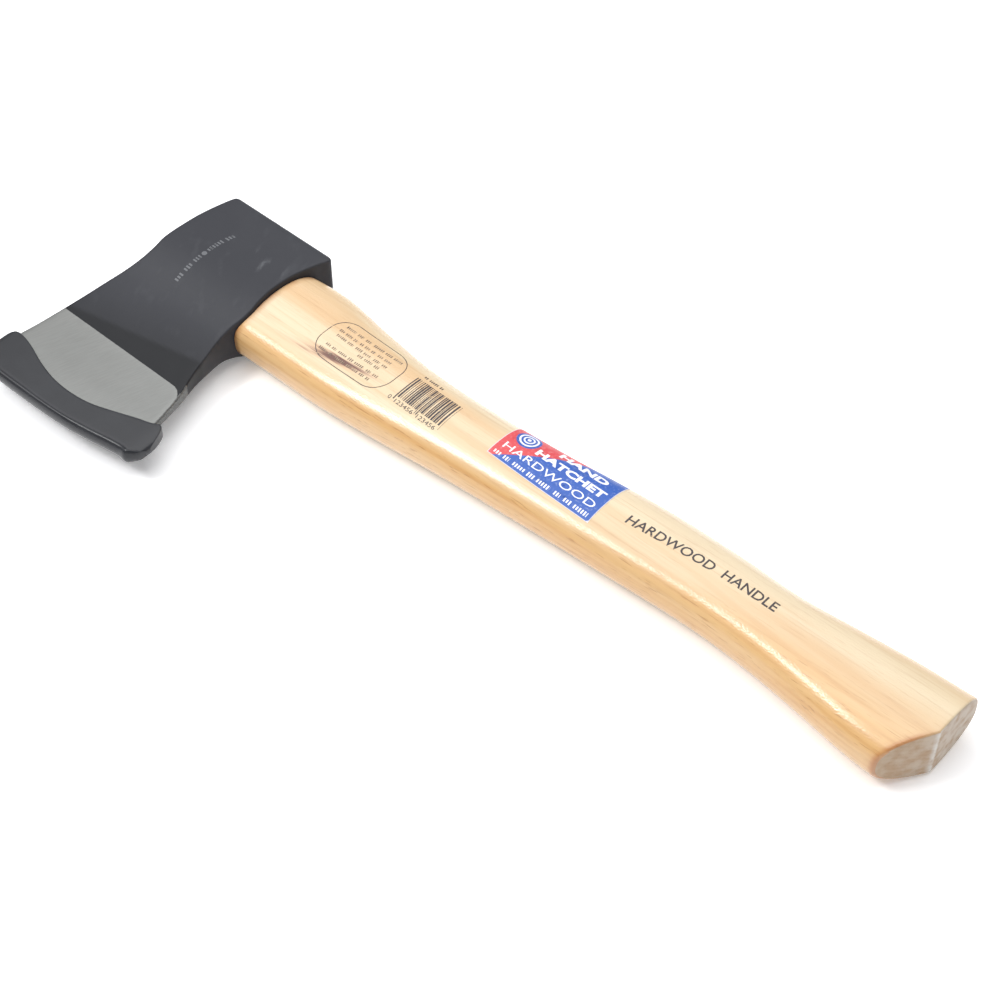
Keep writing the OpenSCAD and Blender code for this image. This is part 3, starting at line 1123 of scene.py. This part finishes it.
class Print:
    """Flat artwork that is laid on the haft or the cheek, in the sheet's own x and y."""

    def __init__(self) -> None:
        """Starts an empty sheet."""
        self.bm = bmesh.new()

    def bar(self, x0: float, x1: float, y0: float, y1: float) -> None:
        """Lays one rectangle between two corners."""
        middle = Matrix.Translation(((x0 + x1) / 2, (y0 + y1) / 2, 0))
        size = Matrix.Diagonal((abs(x1 - x0), abs(y1 - y0), 1, 1))
        bmesh.ops.create_grid(self.bm, x_segments=1, y_segments=1, size=0.5, matrix=middle @ size)

    def words(self, x0: float, x1: float, y: float, height: float, seed: int) -> None:
        """Lays a row of short bars of uneven length, in place of small lettering.

        Args:
            x0: Where the row starts.
            x1: Where it ends.
            y: Its middle.
            height: The bars' height.
            seed: Fixes the lengths.
        """
        lengths = random.Random(seed)
        x = x0
        while x < x1 - height:
            end = min(x + lengths.uniform(1.2, 3.6) * height, x1)
            letter = 0.62 * height
            while x < end:
                tall = height * lengths.uniform(0.36, 0.5)
                self.bar(x, min(x + letter * 0.55, end), y - tall, y + tall)
                x += letter
            x += 0.55 * height

    def outline(self, x0: float, x1: float, y0: float, y1: float, corner: float, line: float) -> None:
        """Lays a thin rounded frame.

        Args:
            x0: Its left edge.
            x1: Its right edge.
            y0: Its front edge.
            y1: Its back edge.
            corner: The radius of its corners.
            line: The width of its line.
        """
        before = set(self.bm.faces)
        self.bar(x0, x1, y0, y1)
        face = next(f for f in self.bm.faces if f not in before)
        bmesh.ops.bevel(
            self.bm,
            geom=list(face.verts),
            offset=corner,
            segments=10,
            profile=0.5,
            material=-1,
            affect="VERTICES",
            clamp_overlap=True,
        )
        face = max((f for f in self.bm.faces if f not in before), key=lambda f: f.calc_area())
        bmesh.ops.inset_region(
            self.bm,
            faces=[face],
            thickness=line,
            use_even_offset=True,
            use_boundary=True,
        )
        bmesh.ops.delete(self.bm, geom=[face], context="FACES_ONLY")

    def disc(self, x: float, y: float, radius: float, hole: float = 0.0) -> None:
        """Lays a disc, or a ring if it has a hole."""
        sides = 40
        middle = Matrix.Translation((x, y, 0))
        rim = bmesh.ops.create_circle(
            self.bm, cap_ends=hole == 0, segments=sides, radius=radius, matrix=middle
        )
        if hole:
            inner = bmesh.ops.create_circle(
                self.bm, cap_ends=False, segments=sides, radius=hole, matrix=middle
            )
            loops = {e for v in [*rim["verts"], *inner["verts"]] for e in v.link_edges}
            bmesh.ops.bridge_loops(self.bm, edges=list(loops))

    def lettering(self, text: str, x0: float, x1: float, y0: float, y1: float, weight: float) -> None:
        """Lays plain capitals or digits that fill a rectangle.

        Args:
            text: What it says.
            x0: Where it starts.
            x1: Where it ends.
            y0: The foot of the letters.
            y1: Their top.
            weight: How much the strokes are fattened, as a part of the letters' height.
        """
        letters = bpy.data.curves.new("letters", "FONT")
        letters.body = text
        letters.offset = weight
        letters.resolution_u = 3
        holder = bpy.data.objects.new("letters", letters)
        flat = bpy.data.meshes.new_from_object(holder)
        low = Vector((min(v.co.x for v in flat.vertices), min(v.co.y for v in flat.vertices)))
        high = Vector((max(v.co.x for v in flat.vertices), max(v.co.y for v in flat.vertices)))
        scale = Vector(((x1 - x0) / (high.x - low.x), (y1 - y0) / (high.y - low.y)))
        for vert in flat.vertices:
            vert.co.x = x0 + (vert.co.x - low.x) * scale.x
            vert.co.y = y0 + (vert.co.y - low.y) * scale.y
        self.bm.from_mesh(flat)
        bpy.data.objects.remove(holder)
        bpy.data.curves.remove(letters)
        bpy.data.meshes.remove(flat)

    def wrap(self, under: Place, over: Place, cell: float = 1.0) -> BMesh:
        """Cuts the artwork into cells, thickens it and bends it to its place.

        Args:
            under: Gives the place of the print's underside for a place on the sheet.
            over: Gives the place of its upper side.
            cell: The size of a cell.

        Returns:
            The print.
        """
        bm = self.bm
        bmesh.ops.remove_doubles(bm, verts=bm.verts, dist=0.001)
        for axis in (0, 1):
            normal = Vector((1, 0, 0)) if axis == 0 else Vector((0, 1, 0))
            step = cell * 3 if axis == 0 else cell
            low = min(v.co[axis] for v in bm.verts)
            high = max(v.co[axis] for v in bm.verts)
            for k in range(1, int((high - low) / step) + 1):
                geom = [*bm.verts, *bm.edges, *bm.faces]
                middle = normal * (low + k * step)
                bmesh.ops.bisect_plane(bm, geom=geom, plane_co=middle, plane_no=normal)
        made = bmesh.ops.extrude_face_region(bm, geom=list(bm.faces), use_keep_orig=True)
        raised = {item for item in made["geom"] if isinstance(item, BMVert)}
        for vert in bm.verts:
            vert.co = (over if vert in raised else under)(vert.co.x, vert.co.y)
        return bm


@dataclass
class HaftPrint:
    """What is printed: the haft's label and three ink stamps, and the faint row on the cheek."""

    ink_lift: float = 0.035
    label_lift: float = 0.11
    label_x: tuple[float, float] = (142.7, 193.0)
    label_y: tuple[float, float] = (0.0, 26.0)  # from the label's front edge to its back edge
    label_front: float = -5.7  # the label's front edge at its left end
    sign: tuple[float, float] = (150.6, 15.8)  # the middle of the log-end sign
    slant: float = -0.095  # the centre line drifts back from a line along X by this much

    def on_label(self, lift: float) -> Place:
        """Returns the function that lays the label's own x and y on the haft."""

        def place(x: float, y: float) -> Vector:
            """Gives the place on the haft."""
            front = self.label_front + (x - self.label_x[0]) * self.slant
            return on_haft(x, -(front + y), lift)

        return place

    def on_wood(self, start: float, slant: float, lift: float) -> Place:
        """Returns the function that lays a stamp on the wood.

        Args:
            start: The x from which the stamp's lines drift.
            slant: How far they drift to the front for each millimetre.
            lift: How far it stands off the wood.
        """

        def place(x: float, y: float) -> Vector:
            """Gives the place on the haft."""
            return on_haft(x, -y + (x - start) * slant, lift)

        return place

    def stamped(self, sheet: Print, start: float, slant: float) -> BMesh:
        """Returns a stamp's artwork laid in the wood, with its upper side just above it."""
        under = self.on_wood(start, slant, self.ink_lift - 0.05)
        return sheet.wrap(under, self.on_wood(start, slant, self.ink_lift))

    def label(self, finish: PrintedLabel) -> bpy.types.Object:
        """Builds the label, dresses it and returns it."""
        sheet = Print()
        (x0, x1), (y0, y1) = self.label_x, self.label_y
        middle = Matrix.Translation(((x0 + x1) / 2, (y0 + y1) / 2, 0))
        size = Matrix.Diagonal((x1 - x0, y1 - y0, 1, 1))
        bmesh.ops.create_grid(sheet.bm, x_segments=50, y_segments=26, size=0.5, matrix=middle @ size)
        mark(sheet.bm, "split", self.split)
        mark(sheet.bm, "rim", lambda at: min(at.x - x0, x1 - at.x, at.y - y0, y1 - at.y))
        bm = sheet.wrap(self.on_label(self.label_lift - 0.1), self.on_label(self.label_lift))
        piece = Piece("haft_label", Body.HATCHET, "label_paper", ("paper_label",))
        return piece.settle(bm, [finish.make()])

    def split(self, at: Vector) -> float:
        """Tells how far inside the blue a place on the label is, or less than 0 on the red."""
        across = (at.x - 150.0) * 0.62 - (at.y - 4.0) * 0.8
        from_sign = math.hypot(at.x - self.sign[0], at.y - self.sign[1])
        return max(across, 5.2 - from_sign)

    def label_print(self, finish: LabelWhite) -> bpy.types.Object:
        """Builds the label's white lettering and its plain log-end sign."""
        sheet = Print()
        sheet.words(144.5, 191.0, 2.3, 2.0, seed=4)
        sheet.lettering("HARDWOOD", 145.5, 190.5, 5.4, 8.9, 0.0)
        sheet.lettering("HATCHET", 157.0, 190.5, 11.2, 15.0, 0.045)
        sheet.lettering("HAND", 164.0, 187.0, 17.4, 21.2, 0.045)
        for outer, inner in ((4.1, 3.3), (2.4, 1.7), (0.8, 0.0)):
            sheet.disc(*self.sign, outer, inner)
        bm = sheet.wrap(self.on_label(self.label_lift - 0.02), self.on_label(self.label_lift + 0.03))
        return Piece("label_lettering", Body.HATCHET, "label_paper").settle(bm, [finish.make()])

    def care_stamp(self, ink: StampInk, faint: StampInk) -> bpy.types.Object:
        """Builds the rounded panel of small rows nearest to the head."""
        sheet = Print()
        sheet.outline(52.9, 91.7, -10.8, 12.0, 9.0, 0.32)
        framed = len(sheet.bm.faces)
        rows = (
            (58, 88, 7.8),
            (57, 85, 4.6),
            (58, 87, 1.8),
            (72, 83, -0.6),
            (58, 86, -4.2),
            (57, 84, -7.2),
        )
        for number, (x0, x1, y) in enumerate(rows):
            sheet.words(x0, x1, y, 1.45, seed=number)
        for number, face in enumerate(sheet.bm.faces):
            face.material_index = int(number >= framed)
        bm = self.stamped(sheet, 72.0, -0.04)
        return Piece("care_stamp", Body.HATCHET).settle(bm, [ink.make(), faint.make()])

    def bar_stamp(self, ink: StampInk) -> bpy.types.Object:
        """Builds the stamp of upright bars with placeholder digits at its foot."""
        sheet = Print()
        widths = random.Random(12)
        start, end = 97.4, 121.2
        x = start
        while x < end:
            wide = widths.choice((0.25, 0.25, 0.25, 0.5, 0.78))
            # The bars at both ends and in the middle stand lower than the rest.
            guard = x < start + 1 or x > end - 1.4 or abs(x - (start + end) / 2) < 0.7
            foot = -7.4 if guard else -5.6
            sheet.bar(x, min(x + wide, end), foot, 7.2)
            x += wide + widths.choice((0.28, 0.28, 0.5, 0.75))
        for digits, x0, x1 in (("0", 95.3, 96.6), ("123456", 98.8, 108.2), ("123456", 110.4, 119.8)):
            sheet.lettering(digits, x0, x1, -8.4, -6.5, 0.0)
        sheet.words(99.0, 109.0, 9.6, 1.5, seed=31)
        bm = self.stamped(sheet, 97.4, 0.06)
        return Piece("bar_stamp", Body.HATCHET).settle(bm, [ink.make()])

    def wood_stamp(self, ink: StampInk) -> bpy.types.Object:
        """Builds the line of plain capitals that names the wood."""
        sheet = Print()
        sheet.lettering("HARDWOOD  HANDLE", 203.5, 269.6, -1.6, 2.8, 0.012)
        bm = self.stamped(sheet, 236.0, -0.034)
        return Piece("wood_stamp", Body.HATCHET).settle(bm, [ink.make()])

    def cheek_stamp(self, ink: StampInk) -> bpy.types.Object:
        """Builds the faint row on the cheek, with a dot at its middle."""
        sheet = Print()
        head = ForgedHead()
        sheet.words(-21.6, -7.4, 0.0, 2.2, seed=51)
        sheet.disc(-5.4, 0.0, 1.15)
        sheet.words(-3.2, 11.5, 0.0, 2.2, seed=52)

        def on_cheek(lift: float) -> Place:
            """Returns the function that lays the row on the cheek, bowed at its poll end."""

            def place(x: float, y: float) -> Vector:
                """Gives the place on the cheek."""
                bowed = 0.016 * max(0.0, x + 1) ** 2 - 13.0
                return Vector((bowed - y, x, head.cheek(x) + lift))

            return place

        bm = sheet.wrap(on_cheek(-0.03), on_cheek(0.02))
        return Piece("cheek_stamp", Body.HATCHET).settle(bm, [ink.make()])


# ---- Bit guard ----


@dataclass
class BitGuard:
    """The guard: a moulded channel over the bit, with a bead along its outer edge."""

    # x, inner edge y, outer edge y, fullness of the section
    rows: tuple[Row, ...] = (
        (-47.4, -87.0, -94.5, 0.45),
        (-46.9, -83.0, -97.2, 0.80),
        (-45.6, -80.0, -99.0, 0.98),
        (-42.0, -79.2, -99.6, 1.00),
        (-34.0, -81.0, -99.9, 1.00),
        (-25.0, -84.1, -99.9, 1.00),
        (-14.0, -86.6, -99.7, 1.00),
        (-3.0, -87.0, -99.3, 1.00),
        (7.0, -85.6, -98.6, 1.00),
        (17.0, -82.3, -97.2, 1.00),
        (26.0, -79.0, -95.6, 1.00),
        (32.0, -77.1, -94.8, 1.00),
        (35.6, -75.4, -95.0, 0.97),
        (37.6, -77.6, -93.4, 0.90),
        (39.4, -82.2, -90.9, 0.75),
        (40.3, -85.4, -88.0, 0.45),
    )
    # Millimetres in from the outer edge, and height as a part of flat_half and of bead_half
    crease: tuple[Row, ...] = ((3.4, 0.995), (3.0, 0.985), (2.75, 0.97), (2.5, 0.97))
    bead: tuple[Row, ...] = (
        (2.3, 0.9),
        (2.0, 0.975),
        (1.7, 1.0),
        (1.35, 0.97),
        (1.0, 0.89),
        (0.65, 0.76),
        (0.32, 0.57),
        (0.1, 0.34),
        (0.0, 0.11),
    )
    flat_half: float = 2.9
    bead_half: float = 3.1
    slot: tuple[float, float] = (-45.45, 34.85)  # the slot's ends along the edge
    root_half: float = 0.5  # half the slot's width at its bottom
    waist_half: float = 2.12  # half its width at waist_y
    waist_y: float = -78.0
    bottom: float = -97.15  # the slot's bottom where the edge reaches furthest
    rings: int = 130
    head: ForgedHead = field(default_factory=ForgedHead)

    def slot_half(self, y: float, floor: float) -> float:
        """Gives half the slot's width at y, where floor is its bottom."""
        return self.root_half + (self.waist_half - self.root_half) * (y - floor) / (self.waist_y - floor)

    def section(self, x: float) -> list[Vector]:
        """Draws one section across the guard, out along its top, back under it and round its slot.

        Args:
            x: Where it is cut.

        Returns:
            Its corners.
        """
        _, lip, out, full = curve(self.rows, x)
        full = min(full, 1.0)
        room = min(1.0, (lip - out) / 14)
        nub = 0.5 * math.exp(-(((x - 36.0) / 2.0) ** 2))
        flat, bead = self.flat_half * full, self.bead_half * full + nub
        floor = self.bottom + self.head.bow(x)
        open_here = self.slot[0] < x < self.slot[1]
        inner = min(self.slot_half(lip, floor), flat - 0.45) if open_here else flat * 0.5
        wall = (flat - inner) / 2
        turns = (1.57, 1.18, 0.79, 0.39, 0.0)
        top = [(lip - wall * (1 - math.sin(a)), flat - wall * (1 - math.cos(a))) for a in turns]
        spread = 8
        span = lip - out - 5.6 * room
        top += [(lip - 1.6 * room - span * k / spread, flat) for k in range(spread + 1)]
        top += [(out + off * room, flat * height) for off, height in self.crease]
        top += [(out + off * room, bead * height) for off, height in self.bead]
        under = [(y, -z) for y, z in reversed(top)]
        depth = [0.0, 0.2, 0.5, 0.8, 1.0]
        if open_here:
            hollow = [(lip - wall + (floor - lip + wall) * d, 0.0) for d in depth]
            side = [(y, self.slot_half(y, floor) if d else inner) for (y, _), d in zip(hollow, depth)]
        else:
            side = [(lip, inner * (1 - 0.3 * d)) for d in depth]
        slot = [(y, -z) for y, z in side] + [(y, z) for y, z in reversed(side)]
        return [Vector((x, y, z)) for y, z in top + under + slot]

    def build(self, finish: MouldedRubber) -> bpy.types.Object:
        """Builds the guard, dresses it and returns it."""
        low, high = self.rows[0][0], self.rows[-1][0]
        # The sections crowd together towards both ends, where the guard is round.
        parts = [(1 - math.cos(math.pi * k / self.rings)) / 2 for k in range(self.rings + 1)]
        places = [low + (high - low) * part for part in parts]
        jump = 0.05
        for end in self.slot:
            places = [x for x in places if abs(x - end) > 0.25] + [end - jump, end + jump]
        places.sort()
        loft = Loft(self.section(places[0]))
        for x in places[1:]:
            loft.grow(self.section(x))
        loft.cap(loft.first)
        loft.cap(loft.ring)
        bmesh.ops.remove_doubles(loft.bm, verts=loft.bm.verts, dist=0.002)
        piece = Piece("rubber_guard", Body.GUARD, "guard_rubber", ("bit_guard",), crease=50.0)
        return piece.settle(loft.bm, [finish.make()])


# ---- Studio ----


@dataclass
class Studio:
    """A white sweep under soft light, and the camera."""

    camera_place: Row = (0.36294, -0.38131, 0.64355)
    azimuth: float = 41.544  # degrees round from -Y towards +X
    elevation: float = 49.438
    roll: float = 0.382
    lens: float = 80.0
    floor_size: float = 8.0
    floor_glow: float = 0.18  # a little light comes up through the board

    def floor(self) -> None:
        """Lays the pale floor that the hatchet lies on."""
        bm = bmesh.new()
        bmesh.ops.create_grid(bm, x_segments=1, y_segments=1, size=self.floor_size / 2)
        mesh = bpy.data.meshes.new("floor")
        bm.to_mesh(mesh)
        bm.free()
        r = Recipe("matt_white_board")
        board = {"Base Color": linear("#FAFAFB"), "Roughness": 0.9}
        glow = {"Emission Color": linear("#FFFFFF"), "Emission Strength": self.floor_glow}
        mesh.materials.append(r.finish(board | glow))
        obj = bpy.data.objects.new("floor", mesh)
        bpy.context.scene.collection.objects.link(obj)

    def lamp(self, name: str, place: Row, target: Row, size: Row, power_w: float) -> None:
        """Hangs one soft light.

        Args:
            name: Its name.
            place: Where it hangs.
            target: What it faces.
            size: Its width and height.
            power_w: Its power in watts.
        """
        data = bpy.data.lights.new(name, "AREA")
        data.shape = "RECTANGLE"
        data.size, data.size_y = size
        data.energy = power_w
        obj = bpy.data.objects.new(name, data)
        obj.location = place
        aim = Vector(target) - Vector(place)
        obj.rotation_euler = aim.to_track_quat("-Z", "Y").to_euler()
        bpy.context.scene.collection.objects.link(obj)

    def light(self) -> None:
        """Lights the hatchet in a white tent, with a softbox above and one small lamp to the left."""
        world = bpy.data.worlds.new("tent")
        world.use_nodes = True
        tree = world.node_tree
        tree.nodes.clear()
        # The tent is brightest overhead and behind, and dimmest on the camera's side.
        way = add_node(tree, "SeparateXYZ", inputs={0: add_node(tree, "TexCoord").outputs["Generated"]})
        inputs: dict[str | int, object] = {0: way.outputs[2], 1: 0.3, 2: 0.3}
        high = add_node(tree, "Math", {"operation": "MULTIPLY_ADD"}, inputs)
        inputs = {0: way.outputs[1], 1: 0.1, 2: high.outputs[0]}
        glow = add_node(tree, "Math", {"operation": "MULTIPLY_ADD"}, inputs)
        tent = {"Color": linear("#FBFCFF"), "Strength": glow.outputs[0]}
        back = add_node(tree, "Background", inputs=tent)
        add_node(tree, "OutputWorld", inputs={"Surface": back.outputs[0]})
        bpy.context.scene.world = world
        self.lamp("overhead", (-0.3, 0.1, 1.2), (0.0, 0.0, 0.0), (1.9, 1.6), 19.0)
        self.lamp("glint", (-0.86, -0.84, 1.6), (0.06, 0.0, 0.0), (0.56, 0.4), 17.0)

    def camera(self) -> None:
        """Sets up the camera."""
        data = bpy.data.cameras.new("camera")
        data.lens = self.lens
        data.sensor_width = 36.0
        a, e, roll = (math.radians(v) for v in (self.azimuth, self.elevation, self.roll))
        back = Vector((math.sin(a) * math.cos(e), -math.cos(a) * math.cos(e), math.sin(e)))
        side = Vector((math.cos(a), math.sin(a), 0.0))
        up = back.cross(side)
        right = side * math.cos(roll) + up * math.sin(roll)
        up = up * math.cos(roll) - side * math.sin(roll)
        turned = Matrix((right, up, back)).transposed().to_4x4()
        obj = bpy.data.objects.new("camera", data)
        obj.matrix_world = Matrix.Translation(self.camera_place) @ turned
        bpy.context.scene.collection.objects.link(obj)
        bpy.context.scene.camera = obj
        bpy.context.scene.view_settings.view_transform = "Standard"


def main() -> None:
    """Builds the studio and the hatchet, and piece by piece."""
    logging.basicConfig(level=logging.INFO, format="%(name)s: %(message)s")
    studio = Studio()
    studio.camera()
    studio.floor()
    studio.light()
    ForgedHead().build(LacqueredForging())
    HickoryHaft().build(LacqueredHickory(), WaxedEndGrain())
    dress_wedges()
    prints = HaftPrint()
    prints.label(PrintedLabel())
    prints.label_print(LabelWhite())
    prints.care_stamp(StampInk(cover=0.56), StampInk(full="#6E5D4E", thin="#94806A", cover=0.48))
    prints.bar_stamp(StampInk(cover=0.6))
    prints.wood_stamp(StampInk(cover=0.6))
    prints.cheek_stamp(StampInk(full="#5B5D61", thin="#3E3F43", cover=0.55))
    BitGuard().build(MouldedRubber())


if __name__ == "__main__":
    main()
